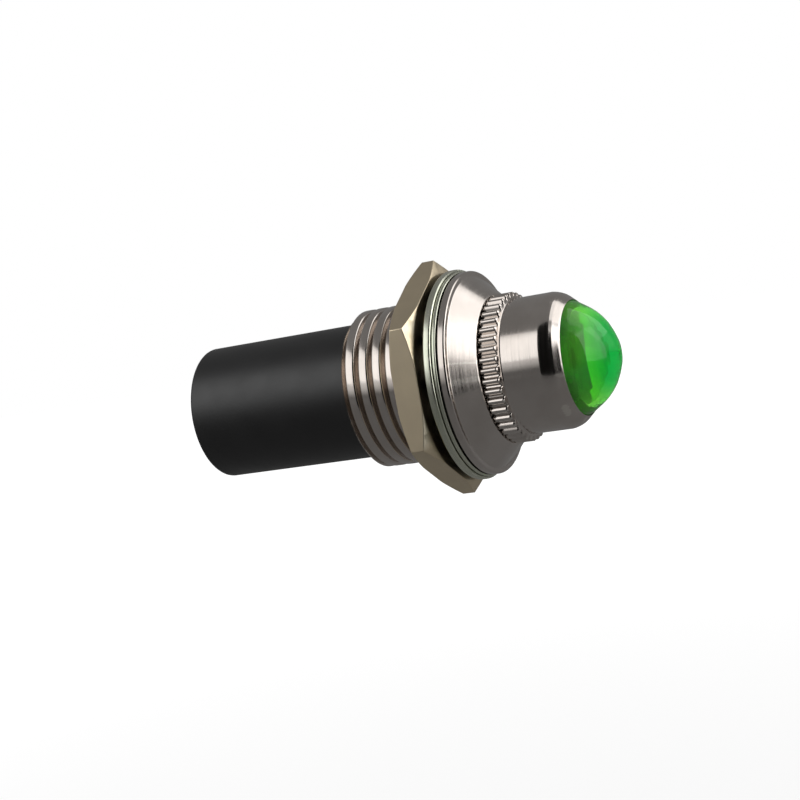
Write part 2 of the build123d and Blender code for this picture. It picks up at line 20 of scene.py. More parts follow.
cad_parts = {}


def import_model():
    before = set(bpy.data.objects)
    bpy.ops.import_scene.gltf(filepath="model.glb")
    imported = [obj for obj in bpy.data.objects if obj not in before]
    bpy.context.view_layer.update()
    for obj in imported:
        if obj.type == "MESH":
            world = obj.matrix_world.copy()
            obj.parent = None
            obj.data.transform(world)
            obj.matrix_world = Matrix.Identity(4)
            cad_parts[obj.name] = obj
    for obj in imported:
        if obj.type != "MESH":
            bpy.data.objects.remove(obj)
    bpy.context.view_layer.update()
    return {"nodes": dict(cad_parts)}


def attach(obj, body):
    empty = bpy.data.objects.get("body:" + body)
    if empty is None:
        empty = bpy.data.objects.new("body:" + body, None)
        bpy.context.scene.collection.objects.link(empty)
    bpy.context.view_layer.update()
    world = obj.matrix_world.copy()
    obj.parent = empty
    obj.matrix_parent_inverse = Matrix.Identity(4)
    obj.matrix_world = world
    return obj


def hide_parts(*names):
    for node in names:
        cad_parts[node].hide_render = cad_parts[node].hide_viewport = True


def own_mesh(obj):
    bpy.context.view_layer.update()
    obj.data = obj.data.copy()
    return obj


LOG = logging.getLogger("pilot_light")
MM = 0.001
LAMP_AXIS = Vector((0.0, 1.0, 0.0))

# Meshes: merging distances are in metres, areas and insets in millimetres
CORNER_SEGMENTS = 4
EDGE_SEGMENTS = 2
FULL_STEPS = 256
WELD = 1e-7
THREAD_WELD = 2e-6
LEVEL_ANGLE = 0.5
FLAT_AREA = 8.0
FLAT_INSET = 0.05
SHORTEST_HELD = 8.0

# Metal: spans of pointiness and of openness, and shares of the grain's scale; the openness span and its tint
# give the painted shade in recesses
EDGE_SPAN = (0.53, 0.62)
EDGE_SHARE = 0.75
PAINTED_SHADE_SPAN = (0.28, 0.66)
PAINTED_SHADE_TINT = (0.02, 0.018, 0.015)
DRAWN_SHARE = 0.03
TUMBLED_SHARE = 0.4

Section = Sequence[tuple[float, float, float]]
Output = tuple[bpy.types.Node, str | int]


class Slot(Enum):
    """Material slots of the record."""

    NICKEL = "nickel_plate"
    NUT = "nut_plate"
    ZINC = "zinc_plate"
    LENS = "green_lens"
    GLASS = "clear_glass"
    BLACK = "black_moulding"
    LAMINATE = "dark_insulator"
    RUBBER = "seal_rubber"
    SPRING = "spring_steel"
    BRASS = "brass_contact"
    SOLDER = "solder"
    WIRE = "lamp_wire"


class Grain(Enum):
    """Direction of the tool marks on a metal."""

    TURNED = "rings about the lamp axis"
    DRAWN = "lines along the lamp axis"
    TUMBLED = "no direction"


# Finishes


class NodeTree:
    """Shader nodes of a material or of the world."""

    def __init__(self, owner: bpy.types.Material | bpy.types.World) -> None:
        """Start the owner's tree afresh, with its coordinates."""
        owner.use_nodes = True
        self.tree = owner.node_tree
        self.tree.nodes.clear()
        self.place = self.add("ShaderNodeTexCoord")

    def add(self, kind: str, **settings: object) -> bpy.types.Node:
        """Add a node.

        Args:
            kind: Blender's name of the node type.
            settings: Attributes of the node to set.

        Returns:
            The new node.
        """
        node = self.tree.nodes.new(kind)
        for name, value in settings.items():
            setattr(node, name, value)
        return node

    def join(self, start: bpy.types.Node, out: str | int, end: bpy.types.Node, into: str | int) -> None:
        """Link an output socket to an input socket."""
        self.tree.links.new(start.outputs[out], end.inputs[into])

    def spread(
        self,
        source: bpy.types.Node,
        low: float,
        high: float,
        start: float = 0.3,
        end: float = 0.7,
        out: str | int = 0,
        smooth: bool = False,
    ) -> bpy.types.Node:
        """Map a value to a range.

        Args:
            source: Node with the value.
            low: Result at and below start.
            high: Result at and above end.
            start: Source value that gives low.
            end: Source value that gives high.
            out: Output of the source.
            smooth: Whether the change eases in and out.

        Returns:
            The Map Range node.
        """
        span = self.add("ShaderNodeMapRange")
        if smooth:
            span.interpolation_type = "SMOOTHSTEP"
        for name, value in (("From Min", start), ("From Max", end), ("To Min", low), ("To Max", high)):
            span.inputs[name].default_value = value
        self.join(source, out, span, "Value")
        return span

    def calculate(self, operation: str, first: Output, second: Output | float) -> bpy.types.Node:
        """Combine two values.

        Args:
            operation: Blender's name of the operation.
            first: Node and output of the first value.
            second: Node and output of the second value, or a number.

        Returns:
            The Math node.
        """
        node = self.add("ShaderNodeMath", operation=operation)
        self.join(*first, node, 0)
        if isinstance(second, tuple):
            self.join(*second, node, 1)
        else:
            node.inputs[1].default_value = second
        return node

    def mix(self, share: Output, first: bpy.types.Node, second: bpy.types.Node) -> bpy.types.Node:
        """Mix two shaders by a value."""
        node = self.add("ShaderNodeMixShader")
        self.join(*share, node, 0)
        self.join(first, 0, node, 1)
        self.join(second, 0, node, 2)
        return node

    def to_camera_or_glass(self) -> bpy.types.Node:
        """Value that is 1 for camera rays and for rays through glass, and 0 for all others."""
        rays = self.add("ShaderNodeLightPath")
        return self.calculate("MAXIMUM", (rays, "Is Camera Ray"), (rays, "Is Transmission Ray"))


class Shader(NodeTree):
    """Node tree of one material, with a Principled surface."""

    def __init__(self, name: str) -> None:
        """Make the material, its surface and its output."""
        self.material = bpy.data.materials.new(name)
        super().__init__(self.material)
        self.surface = self.add("ShaderNodeBsdfPrincipled")
        self.output = self.add("ShaderNodeOutputMaterial")
        self.join(self.surface, "BSDF", self.output, "Surface")

    def fix(self, **values: object) -> None:
        """Set constant sockets of the surface, named with _ for a space."""
        for name, value in values.items():
            self.surface.inputs[name.replace("_", " ")].default_value = value

    def stretched(self, scale: tuple[float, float, float]) -> bpy.types.Node:
        """Object coordinates, stretched along each axis.

        Args:
            scale: Waves per metre along X, Y and Z.

        Returns:
            The Mapping node.
        """
        mapping = self.add("ShaderNodeMapping")
        mapping.inputs["Scale"].default_value = scale
        self.join(self.place, "Object", mapping, "Vector")
        return mapping

    def rings(self, scale: float) -> bpy.types.Node:
        """Coordinates that stay the same all the way round the lamp axis.

        Args:
            scale: Waves per metre along the axis and outwards.

        Returns:
            A node whose first output is the vector.
        """
        apart = self.add("ShaderNodeSeparateXYZ")
        self.join(self.place, "Object", apart, "Vector")
        across = self.add("ShaderNodeCombineXYZ")
        self.join(apart, "X", across, "X")
        self.join(apart, "Z", across, "Z")
        radius = self.add("ShaderNodeVectorMath", operation="LENGTH")
        self.join(across, "Vector", radius, 0)
        both = self.add("ShaderNodeCombineXYZ")
        self.join(radius, "Value", both, "X")
        self.join(apart, "Y", both, "Y")
        grown = self.add("ShaderNodeVectorMath", operation="SCALE")
        grown.inputs["Scale"].default_value = scale
        self.join(both, "Vector", grown, 0)
        return grown

    def noise(self, coords: bpy.types.Node, detail: float) -> bpy.types.Node:
        """Noise texture on coordinates that already have their scale."""
        noise = self.add("ShaderNodeTexNoise")
        noise.inputs["Scale"].default_value = 1.0
        noise.inputs["Detail"].default_value = detail
        self.join(coords, 0, noise, "Vector")
        return noise

    def blend_colors(
        self, amount: bpy.types.Node, first: Sequence[float], second: Sequence[float]
    ) -> bpy.types.Node:
        """Blend two colours by a value.

        Args:
            amount: Node with the share of the second colour on its first output.
            first: Colour at 0.
            second: Colour at 1.

        Returns:
            The Mix node, with its colour on output 2.
        """
        mix = self.add("ShaderNodeMix", data_type="RGBA")
        mix.inputs[6].default_value = (*first, 1.0)
        mix.inputs[7].default_value = (*second, 1.0)
        self.join(amount, 0, mix, 0)
        return mix

    def lay_over(self, amount: bpy.types.Node, under: bpy.types.Node, color: Sequence[float]) -> bpy.types.Node:
        """Lay one colour over the colour of another Mix node by a value."""
        mix = self.blend_colors(amount, color, color)
        self.join(under, 2, mix, 6)
        return mix

    def coat(
        self,
        color: bpy.types.Node,
        gloss: bpy.types.Node,
        roughness: tuple[float, float],
        height: bpy.types.Node,
        depth: float,
    ) -> None:
        """Drive the surface's colour, roughness and relief.

        Args:
            color: Mix node with the colour.
            gloss: Node with the noise that the roughness follows.
            roughness: Roughness at the noise's low and high values.
            height: Node with the height, from 0 to 1, on its first output.
            depth: Depth of the relief, in millimetres.
        """
        self.join(color, 2, self.surface, "Base Color")
        self.join(self.spread(gloss, *roughness), 0, self.surface, "Roughness")
        bump = self.add("ShaderNodeBump")
        bump.inputs["Strength"].default_value = 1.0
        bump.inputs["Distance"].default_value = depth * MM
        self.join(height, 0, bump, "Height")
        self.join(bump, "Normal", self.surface, "Normal")


@dataclass(frozen=True)
class Plating:
    """Metal finish with tool marks, soft stains, slight wear on its edges and painted shade in its recesses."""

    slot: Slot
    tint: tuple[float, float, float]
    stain: tuple[float, float, float]
    roughness: tuple[float, float]
    grain: Grain
    grain_depth: float
    grain_scale: float = 5200.0
    stain_scale: float = 260.0
    edge: tuple[float, float, float] | None = None
    # Reach of the painted shade in recesses, in millimetres
    painted_shade_reach: float = 2.4

    def build(self) -> bpy.types.Material:
        """Make the material.

        Returns:
            The finished material, named after its slot.
        """
        shader = Shader(self.slot.value)
        shader.fix(Metallic=1.0)
        stains = shader.noise(shader.stretched((self.stain_scale,) * 3), detail=4.0)
        share = shader.spread(stains, 0.0, 1.0, 0.35, 0.68)
        color = shader.blend_colors(share, self.tint, self.stain)
        if self.edge is not None:
            color = self.worn_edges(shader, color)
        # Painted shade: the colour darkens wherever ambient occlusion finds surfaces close by
        color = self.paint_recess_shade(shader, color)
        marks = self.marks(shader)
        shader.coat(color, marks, self.roughness, marks, self.grain_depth)
        return shader.material

    def marks(self, shader: Shader) -> bpy.types.Node:
        """Tool marks in this finish's direction, as a height."""
        scale = self.grain_scale
        if self.grain is Grain.TURNED:
            return shader.noise(shader.rings(scale), detail=2.0)
        if self.grain is Grain.DRAWN:
            return shader.noise(shader.stretched((scale, scale * DRAWN_SHARE, scale)), detail=2.0)
        return shader.noise(shader.stretched((scale * TUMBLED_SHARE,) * 3), detail=5.0)

    def worn_edges(self, shader: Shader, color: bpy.types.Node) -> bpy.types.Node:
        """Blend the edge colour in where the surface turns sharply outwards.

        Args:
            shader: Tree to add to.
            color: Mix node with the colour of the rest.

        Returns:
            The Mix node with the worn edges.
        """
        shape = shader.add("ShaderNodeNewGeometry")
        share = shader.spread(shape, 0.0, EDGE_SHARE, *EDGE_SPAN, out="Pointiness")
        return shader.lay_over(share, color, self.edge)

    def paint_recess_shade(self, shader: Shader, color: bpy.types.Node) -> bpy.types.Node:
        """Paint shade into the colour in grooves and gaps, where the surface faces something close by.

        Args:
            shader: Tree to add to.
            color: Mix node with the colour of the rest.

        Returns:
            The Mix node with the dark recesses.
        """
        room = shader.add("ShaderNodeAmbientOcclusion", samples=4)
        room.inputs["Distance"].default_value = self.painted_shade_reach * MM
        share = shader.spread(room, 1.0, 0.0, *PAINTED_SHADE_SPAN)
        return shader.lay_over(share, color, PAINTED_SHADE_TINT)


@dataclass(frozen=True)
class Moulding:
    """Plastic, laminate or rubber with a fine skin texture."""

    slot: Slot
    tint: tuple[float, float, float]
    second: tuple[float, float, float]
    roughness: tuple[float, float]
    skin_depth: float
    skin_scale: float = 3800.0
    cloud_scale: float = 320.0
    gloss: float = 0.5

    def build(self) -> bpy.types.Material:
        """Make the material.

        Returns:
            The finished material, named after its slot.
        """
        shader = Shader(self.slot.value)
        shader.fix(Specular_IOR_Level=self.gloss)
        cloud = shader.noise(shader.stretched((self.cloud_scale,) * 3), detail=4.0)
        color = shader.blend_colors(shader.spread(cloud, 0.0, 1.0), self.tint, self.second)
        skin = shader.noise(shader.stretched((self.skin_scale,) * 3), detail=3.0)
        shader.coat(color, cloud, self.roughness, skin, self.skin_depth)
        return shader.material


@dataclass(frozen=True)
class ClearMoulding:
    """Glass or transparent plastic.

    The absorption is per millimetre of red, green and blue, the painted shade at the dome's tip (a deeper
    green) fades in over a span of forward distances, and dulled is how many times rougher the roughest places
    are.
    """

    slot: Slot
    tint: tuple[float, float, float]
    second: tuple[float, float, float]
    see_through: float
    roughness: float
    ior: float
    ripple_depth: float
    gloss: float = 0.5
    absorption: tuple[float, float, float] | None = None
    # Painted shade: a deeper green laid on towards the dome's tip
    painted_tip_shade: tuple[float, float, float] | None = None
    painted_tip_span: tuple[float, float] = (12.8, 15.0)
    flow_scale: tuple[float, float, float] = (150.0, 90.0, 150.0)
    dulled: float = 1.6

    def build(self) -> bpy.types.Material:
        """Make the material.

        Returns:
            The finished material, named after its slot.
        """
        shader = Shader(self.slot.value)
        shader.fix(Transmission_Weight=self.see_through, IOR=self.ior, Specular_IOR_Level=self.gloss)
        if self.absorption is not None:
            self.absorb(shader)
        flow = shader.noise(shader.stretched(self.flow_scale), detail=2.0)
        color = shader.blend_colors(shader.spread(flow, 0.0, 1.0), self.tint, self.second)
        if self.painted_tip_shade is not None:
            color = self.paint_tip_shade(shader, color)
        roughness = (self.roughness, self.roughness * self.dulled)
        shader.coat(color, flow, roughness, flow, self.ripple_depth)
        return shader.material

    def absorb(self, shader: Shader) -> None:
        """Let the inside of the material absorb light."""
        depth = shader.add("ShaderNodeVolumeAbsorption")
        strongest = max(self.absorption)
        depth.inputs["Color"].default_value = (*(1.0 - share / strongest for share in self.absorption), 1.0)
        depth.inputs["Density"].default_value = strongest / MM
        shader.join(depth, 0, shader.output, "Volume")

    def paint_tip_shade(self, shader: Shader, color: bpy.types.Node) -> bpy.types.Node:
        """Paint shade in along the lamp axis, as a deeper green towards the dome's tip.

        Args:
            shader: Tree to add to.
            color: Mix node with the colour of the rest.

        Returns:
            The Mix node with the colour of both.
        """
        along = shader.add("ShaderNodeSeparateXYZ")
        shader.join(shader.place, "Object", along, 0)
        rear, front = self.painted_tip_span
        share = shader.spread(along, 0.0, 1.0, -rear * MM, -front * MM, out="Y", smooth=True)
        return shader.lay_over(share, color, self.painted_tip_shade)


FINISHES: tuple[Plating | Moulding | ClearMoulding, ...] = (
    Plating(
        Slot.NICKEL,
        tint=(0.68, 0.625, 0.58),
        stain=(0.6, 0.545, 0.5),
        roughness=(0.11, 0.2),
        grain=Grain.TURNED,
        grain_depth=0.0012,
        edge=(0.84, 0.79, 0.72),
        painted_shade_reach=0.12,
    ),
    Plating(
        Slot.NUT,
        tint=(0.86, 0.73, 0.52),
        stain=(0.79, 0.67, 0.48),
        roughness=(0.34, 0.42),
        grain=Grain.TUMBLED,
        grain_depth=0.0008,
        edge=(0.94, 0.86, 0.68),
        painted_shade_reach=2.0,
    ),
    Plating(
        Slot.ZINC,
        tint=(0.78, 0.79, 0.66),
        stain=(0.64, 0.67, 0.54),
        roughness=(0.18, 0.3),
        grain=Grain.TURNED,
        grain_depth=0.0006,
        edge=(0.95, 0.95, 0.84),
        painted_shade_reach=1.2,
    ),
    ClearMoulding(
        Slot.LENS,
        tint=(0.44, 1.0, 0.12),
        second=(0.16, 0.95, 0.2),
        see_through=0.78,
        roughness=0.02,
        ior=1.49,
        ripple_depth=0.004,
        gloss=0.05,
        absorption=(0.16, 0.01, 0.22),
        # painted shade: deeper green at the dome's tip
        painted_tip_shade=(0.006, 0.62, 0.14),
    ),
    ClearMoulding(
        Slot.GLASS,
        tint=(0.95, 0.97, 0.95),
        second=(0.9, 0.94, 0.92),
        see_through=0.95,
        roughness=0.02,
        ior=1.47,
        ripple_depth=0.01,
    ),
    Moulding(
        Slot.BLACK,
        tint=(0.005, 0.0052, 0.0056),
        second=(0.0075, 0.0077, 0.0082),
        roughness=(0.38, 0.46),
        skin_depth=0.006,
        gloss=0.8,
    ),
    Moulding(
        Slot.LAMINATE,
        tint=(0.075, 0.034, 0.018),
        second=(0.11, 0.055, 0.03),
        roughness=(0.45, 0.62),
        skin_depth=0.01,
        skin_scale=2200.0,
    ),
    Moulding(
        Slot.RUBBER,
        tint=(0.016, 0.017, 0.016),
        second=(0.026, 0.027, 0.025),
        roughness=(0.62, 0.8),
        skin_depth=0.008,
        gloss=0.35,
    ),
    Plating(
        Slot.SPRING,
        tint=(0.42, 0.42, 0.43),
        stain=(0.33, 0.33, 0.34),
        roughness=(0.2, 0.36),
        grain=Grain.TUMBLED,
        grain_depth=0.002,
    ),
    Plating(
        Slot.BRASS,
        tint=(0.74, 0.56, 0.27),
        stain=(0.6, 0.42, 0.18),
        roughness=(0.2, 0.4),
        grain=Grain.TUMBLED,
        grain_depth=0.003,
        edge=(0.86, 0.7, 0.4),
    ),
    Plating(
        Slot.SOLDER,
        tint=(0.6, 0.61, 0.63),
        stain=(0.45, 0.46, 0.48),
        roughness=(0.22, 0.45),
        grain=Grain.TUMBLED,
        grain_depth=0.01,
    ),
    Plating(
        Slot.WIRE,
        tint=(0.5, 0.5, 0.52),
        stain=(0.4, 0.4, 0.42),
        roughness=(0.25, 0.4),
        grain=Grain.DRAWN,
        grain_depth=0.002,
    ),
)


class Palette:
    """The finished materials, one for each slot."""

    def __init__(self) -> None:
        """Build every finish once."""
        self.materials = {finish.slot: finish.build() for finish in FINISHES}

    def dress(self, piece: bpy.types.Object, slot: Slot) -> None:
        """Give a piece one finish all over."""
        piece.data.materials.clear()
        piece.data.materials.append(self.materials[slot])

    def dress_node(self, node: bpy.types.Object) -> None:
        """Swap the frame's materials of a node for the finished ones."""
        for place in node.material_slots:
            name = place.material.name.split(".")[0]
            place.material = self.materials[Slot(name)]


# Making of meshes


def point(forward: float, radius: float) -> Vector:
    """Place on the turning plane, in metres."""
    return Vector((0.0, -forward * MM, radius * MM))


def radius_of(vert: bmesh.types.BMVert) -> float:
    """Distance of a vertex from the lamp axis, in millimetres."""
    return math.hypot(vert.co.x, vert.co.z) / MM


def set_radius(vert: bmesh.types.BMVert, radius: float) -> None:
    """Move a vertex straight in or out to a radius in millimetres."""
    ratio = radius / radius_of(vert)
    vert.co.x *= ratio
    vert.co.z *= ratio


def outline(mesh: bmesh.types.BMesh, section: Section, closed: bool) -> list[bmesh.types.BMEdge]:
    """Draw a section on the turning plane and round its corners.

    Args:
        mesh: Mesh to draw in.
        section: Forward distance, radius and corner rounding of each point.
        closed: Whether the last point joins the first.

    Returns:
        The outline's edges.
    """
    before = set(mesh.edges)
    verts = [mesh.verts.new(point(forward, radius)) for forward, radius, _ in section]
    ends = verts[1:] + verts[:1] if closed else verts[1:]
    for start, end in zip(verts, ends):
        mesh.edges.new((start, end))
    for vert, (_, _, rounding) in zip(verts, section):
        if rounding:
            bmesh.ops.bevel(
                mesh,
                geom=[vert],
                offset=rounding * MM,
                offset_type="OFFSET",
                affect="VERTICES",
                segments=CORNER_SEGMENTS,
                profile=0.5,
                material=-1,
            )
    return [edge for edge in mesh.edges if edge not in before]


def hold_flats(
    mesh: bmesh.types.BMesh, edges: Iterable[bmesh.types.BMEdge], near: float = 0.04
) -> list[bmesh.types.BMEdge]:
    """Cut long straight edges close to their ends, so that flats stay flat in the shading.

    Args:
        mesh: Mesh with the outline.
        edges: The outline's edges.
        near: Distance of the cuts from the ends, in millimetres.

    Returns:
        The outline's edges after the cuts.
    """
    held = list(edges)
    for edge in tuple(held):
        length = edge.calc_length() / MM
        if length < SHORTEST_HELD * near:
            continue
        start, end = edge.verts
        first, last = start.co.lerp(end.co, near / length), end.co.lerp(start.co, near / length)
        added, corner = bmesh.utils.edge_split(edge, start, near / length)
        corner.co = first
        rest = edge if end in edge.verts else added
        other, corner = bmesh.utils.edge_split(rest, end, near / length)
        corner.co = last
        held += [added, other]
    return held


def spin_round(mesh: bmesh.types.BMesh, edges: Sequence[bmesh.types.BMEdge], steps: int) -> None:
    """Turn an outline once round the lamp axis and close its seam and poles."""
    verts = {vert for edge in edges for vert in edge.verts}
    bmesh.ops.spin(
        mesh,
        geom=[*verts, *edges],
        cent=(0.0, 0.0, 0.0),
        axis=LAMP_AXIS,
        angle=math.tau,
        steps=steps,
        use_merge=True,
        use_duplicate=False,
    )
    bmesh.ops.remove_doubles(mesh, verts=mesh.verts, dist=WELD)
    bmesh.ops.recalc_face_normals(mesh, faces=mesh.faces)


def to_piece(mesh: bmesh.types.BMesh, name: str, smooth_angle: float = 32.0) -> bpy.types.Object:
    """Turn a finished mesh into an object in the scene.

    Args:
        mesh: Finished mesh, which is freed.
        name: Name of the piece.
        smooth_angle: Edges that turn more than this stay sharp, in degrees.

    Returns:
        The new object, at the origin.
    """
    data = bpy.data.meshes.new(name)
    mesh.to_mesh(data)
    mesh.free()
    data.polygons.foreach_set("use_smooth", [True] * len(data.polygons))
    data.set_sharp_from_angle(angle=math.radians(smooth_angle))
    piece = bpy.data.objects.new(name, data)
    bpy.context.scene.collection.objects.link(piece)
    return piece


def wind(mesh: bmesh.types.BMesh, turns: float, steps: int, length: float) -> None:
    """Sweep an outline rearwards along a right-hand helix round the lamp axis.

    Args:
        mesh: Mesh that holds only the outline.
        turns: Turns of the helix.
        steps: Steps of the sweep.
        length: Length of the helix, in millimetres.
    """
    bmesh.ops.spin(
        mesh,
        geom=[*mesh.verts, *mesh.edges],
        cent=(0.0, 0.0, 0.0),
        axis=LAMP_AXIS,
        dvec=LAMP_AXIS * (length / steps * MM),
        angle=math.tau * turns,
        steps=steps,
        use_duplicate=False,
    )


def spin_section(mesh: bmesh.types.BMesh, section: Section, steps: int = FULL_STEPS) -> None:
    """Turn a closed section, with its corners rounded and its flats held."""
    spin_round(mesh, hold_flats(mesh, outline(mesh, section, closed=True)), steps)


def turned(name: str, section: Section) -> bpy.types.Object:
    """Turn a closed section into one piece."""
    mesh = bmesh.new()
    spin_section(mesh, section)
    return to_piece(mesh, name)


def refined(node: bpy.types.Object, name: str, edge_round: float, angle: float = 28.0) -> bpy.types.Object:
    """Copy a CAD node, merge its triangles, round its sharp edges and frame its flats.

    Args:
        node: CAD node to copy.
        name: Name of the new piece.
        edge_round: Rounding of the sharp edges, in millimetres.
        angle: Edges that turn more than this are rounded, in degrees.

    Returns:
        The new piece, at the origin.
    """
    mesh = bmesh.new()
    mesh.from_mesh(node.data)
    mesh.transform(node.matrix_world)
    bmesh.ops.remove_doubles(mesh, verts=mesh.verts, dist=THREAD_WELD)
    bmesh.ops.dissolve_limit(
        mesh,
        angle_limit=math.radians(LEVEL_ANGLE),
        use_dissolve_boundaries=False,
        verts=mesh.verts,
        edges=mesh.edges,
    )
    limit = math.radians(angle)
    sharp = [edge for edge in mesh.edges if edge.is_manifold and edge.calc_face_angle(0.0) > limit]
    bmesh.ops.bevel(
        mesh,
        geom=sharp,
        offset=edge_round * MM,
        offset_type="OFFSET",
        affect="EDGES",
        segments=EDGE_SEGMENTS,
        profile=0.5,
        clamp_overlap=True,
        material=-1,
    )
    flats = [face for face in mesh.faces if face.calc_area() > FLAT_AREA * MM * MM]
    bmesh.ops.inset_individual(mesh, faces=flats, thickness=FLAT_INSET * MM, use_even_offset=True)
    return to_piece(mesh, name, smooth_angle=30.0)


@dataclass(frozen=True)
class ScrewForm:
    """Right-hand outside thread between two places on the axis.

    The flank's places, the rounding of root and crest and the overrun ahead of the front are
    shares of the pitch.
    """

    major: float
    root: float
    bore: float
    pitch: float
    rear: float
    front: float
    rear_lead: float = 0.0
    front_lead: float = 0.0
    steps_per_turn: int = 96
    flank: tuple[float, float] = (0.05, 0.17)
    rounding: tuple[float, float] = (0.04, 0.11)
    overrun: float = 1.5

    def one_pitch(self, start: float) -> Section:
        """Outline of one pitch, from root to root."""
        foot, head = (share * self.pitch for share in self.flank)
        inner, outer = (share * self.pitch for share in self.rounding)
        end = start - self.pitch
        return (
            (start, self.root, 0.0),
            (start - foot, self.root, inner),
            (start - head, self.major, outer),
            (end + head, self.major, outer),
            (end + foot, self.root, inner),
            (end, self.root, 0.0),
        )

    def build(self, mesh: bmesh.types.BMesh) -> None:
        """Sweep the outline along its helix, trim it and close it as a sleeve.

        Args:
            mesh: Mesh to add the thread to.
        """
        thread = bmesh.new()
        start = self.front + self.overrun * self.pitch
        turns = math.ceil((start - self.rear) / self.pitch) + 1
        outline(thread, self.one_pitch(start), closed=False)
        wind(thread, turns, self.steps_per_turn * turns, self.pitch * turns)
        bmesh.ops.remove_doubles(thread, verts=thread.verts, dist=THREAD_WELD)
        self.cut(thread, self.rear, keep_front=True)
        self.cut(thread, self.front, keep_front=False)
        for vert in thread.verts:
            forward = -vert.co.y / MM
            limit = self.major
            if self.rear_lead:
                limit = min(limit, self.major - self.rear_lead + forward - self.rear)
            if self.front_lead:
                limit = min(limit, self.major - self.front_lead + self.front - forward)
            if radius_of(vert) > limit:
                set_radius(vert, limit)
        self.close(thread)
        bmesh.ops.recalc_face_normals(thread, faces=thread.faces)
        kept = bpy.data.meshes.new("thread_form")
        thread.to_mesh(kept)
        thread.free()
        mesh.from_mesh(kept)
        bpy.data.meshes.remove(kept)

    def cut(self, thread: bmesh.types.BMesh, forward: float, keep_front: bool) -> None:
        """Cut the thread square to the axis and keep one side."""
        bmesh.ops.bisect_plane(
            thread,
            geom=[*thread.verts, *thread.edges, *thread.faces],
            dist=1e-8,
            plane_co=point(forward, 0.0),
            plane_no=LAMP_AXIS,
            clear_outer=keep_front,
            clear_inner=not keep_front,
        )

    def close(self, thread: bmesh.types.BMesh) -> None:
        """Add the two end faces and the bore."""
        rims = [edge for edge in thread.edges if edge.is_boundary]
        grown = bmesh.ops.extrude_edge_only(thread, edges=rims)["geom"]
        for vert in (item for item in grown if isinstance(item, bmesh.types.BMVert)):
            set_radius(vert, self.bore)
        inner = [edge for edge in thread.edges if edge.is_boundary]
        bmesh.ops.bridge_loops(thread, edges=inner)


# The object's sub-assemblies


@dataclass
class Assembly:
    """What every sub-assembly needs: the frame's nodes and the materials."""

    nodes: dict[str, bpy.types.Object]
    palette: Palette

    def fit(self, piece: bpy.types.Object, body: str, slot: Slot, *replaced: str) -> None:
        """Dress a new piece, let it ride on its body and let it stand for its CAD nodes.

        Args:
            piece: New piece, in place.
            body: CAD body that it moves with.
            slot: Finish of the piece.
            replaced: CAD nodes that it stands for.
        """
        self.palette.dress(piece, slot)
        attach(piece, body)
        if replaced:
            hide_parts(*replaced)
        LOG.info("%s: %d faces on %s", piece.name, len(piece.data.polygons), body)

    def keep(self, names: Iterable[str]) -> None:
        """Show CAD nodes as they are, with the finished materials."""
        for name in names:
            self.palette.dress_node(self.nodes[name])
            LOG.info("%s: CAD node", name)


@dataclass
class Bushing(Assembly):
    """Flange and cone, the panel thread behind them and the neck inside the cap."""

    flange_radius: float = 11.0
    flange_front: float = 0.85
    cone_base_radius: float = 10.42
    cone_front: float = 3.15
    cone_front_radius: float = 8.13
    passage_radius: float = 5.6
    barrel_bore: float = 6.9
    sleeve_front: float = -0.6
    shoulder: float = -2.0
    panel_thread: ScrewForm = ScrewForm(
        major=8.73,
        root=7.76,
        bore=6.9,
        pitch=1.5875,
        rear=-12.6,
        front=-0.6,
        rear_lead=0.45,
    )
    neck_thread: ScrewForm = ScrewForm(
        major=6.5,
        root=6.1,
        bore=5.6,
        pitch=0.79375,
        rear=4.2,
        front=8.15,
        front_lead=0.2,
    )

    def build(self) -> None:
        """Build the bushing as one piece."""
        mesh = bmesh.new()
        root = self.panel_thread.root
        neck = self.neck_thread
        section = (
            (self.shoulder, self.passage_radius, 0.0),
            (self.shoulder, self.barrel_bore, 0.0),
            (self.sleeve_front, self.barrel_bore, 0.0),
            (self.sleeve_front, root, 0.0),
            (0.0, root, 0.0),
            (0.0, self.flange_radius, 0.12),
            (self.flange_front, self.flange_radius, 0.22),
            (self.flange_front, self.cone_base_radius, 0.06),
            (self.cone_front, self.cone_front_radius, 0.1),
            (self.cone_front, neck.root, 0.0),
            (neck.rear, neck.root, 0.0),
            (neck.rear, self.passage_radius, 0.0),
        )
        spin_section(mesh, section)
        self.panel_thread.build(mesh)
        neck.build(mesh)
        self.fit(to_piece(mesh, "threaded_bushing"), "housing", Slot.NICKEL, "bushing")
        self.keep(("cap_seal",))


@dataclass
class PanelHardware(Assembly):
    """Gasket, washers and nut behind the flange."""

    gasket: tuple[float, float, float, float] = (-0.16, 0.0, 8.85, 10.8)
    washer: tuple[float, float, float, float] = (-0.62, -0.16, 8.85, 11.13)
    gasket_round: float = 0.05
    edge_round: float = 0.07

    def ring(self, name: str, sizes: tuple[float, float, float, float], rounding: float) -> bpy.types.Object:
        """Flat ring with rounded outer edges.

        Args:
            name: Name of the piece.
            sizes: Rear, front, inner radius and outer radius.
            rounding: Rounding of its edges.

        Returns:
            The ring.
        """
        rear, front, inner, outer = sizes
        section = (
            (rear, inner, rounding * 0.5),
            (rear, outer, rounding),
            (front, outer, rounding),
            (front, inner, rounding * 0.5),
        )
        return turned(name, section)

    def build(self) -> None:
        """Build the gasket, both washers and the nut."""
        gasket = self.ring("flange_gasket", self.gasket, self.gasket_round)
        self.fit(gasket, "housing", Slot.RUBBER, "panel_gasket")
        washer = self.ring("plain_washer", self.washer, self.edge_round * 2)
        self.fit(washer, "washers", Slot.ZINC, "flat_washer")
        teeth = refined(self.nodes["lock_washer"], "toothed_washer", self.edge_round)
        self.fit(teeth, "washers", Slot.ZINC, "lock_washer")
        nut = refined(self.nodes["hex_nut"], "panel_nut", self.edge_round, angle=20.0)
        self.fit(nut, "nut", Slot.NUT, "hex_nut")


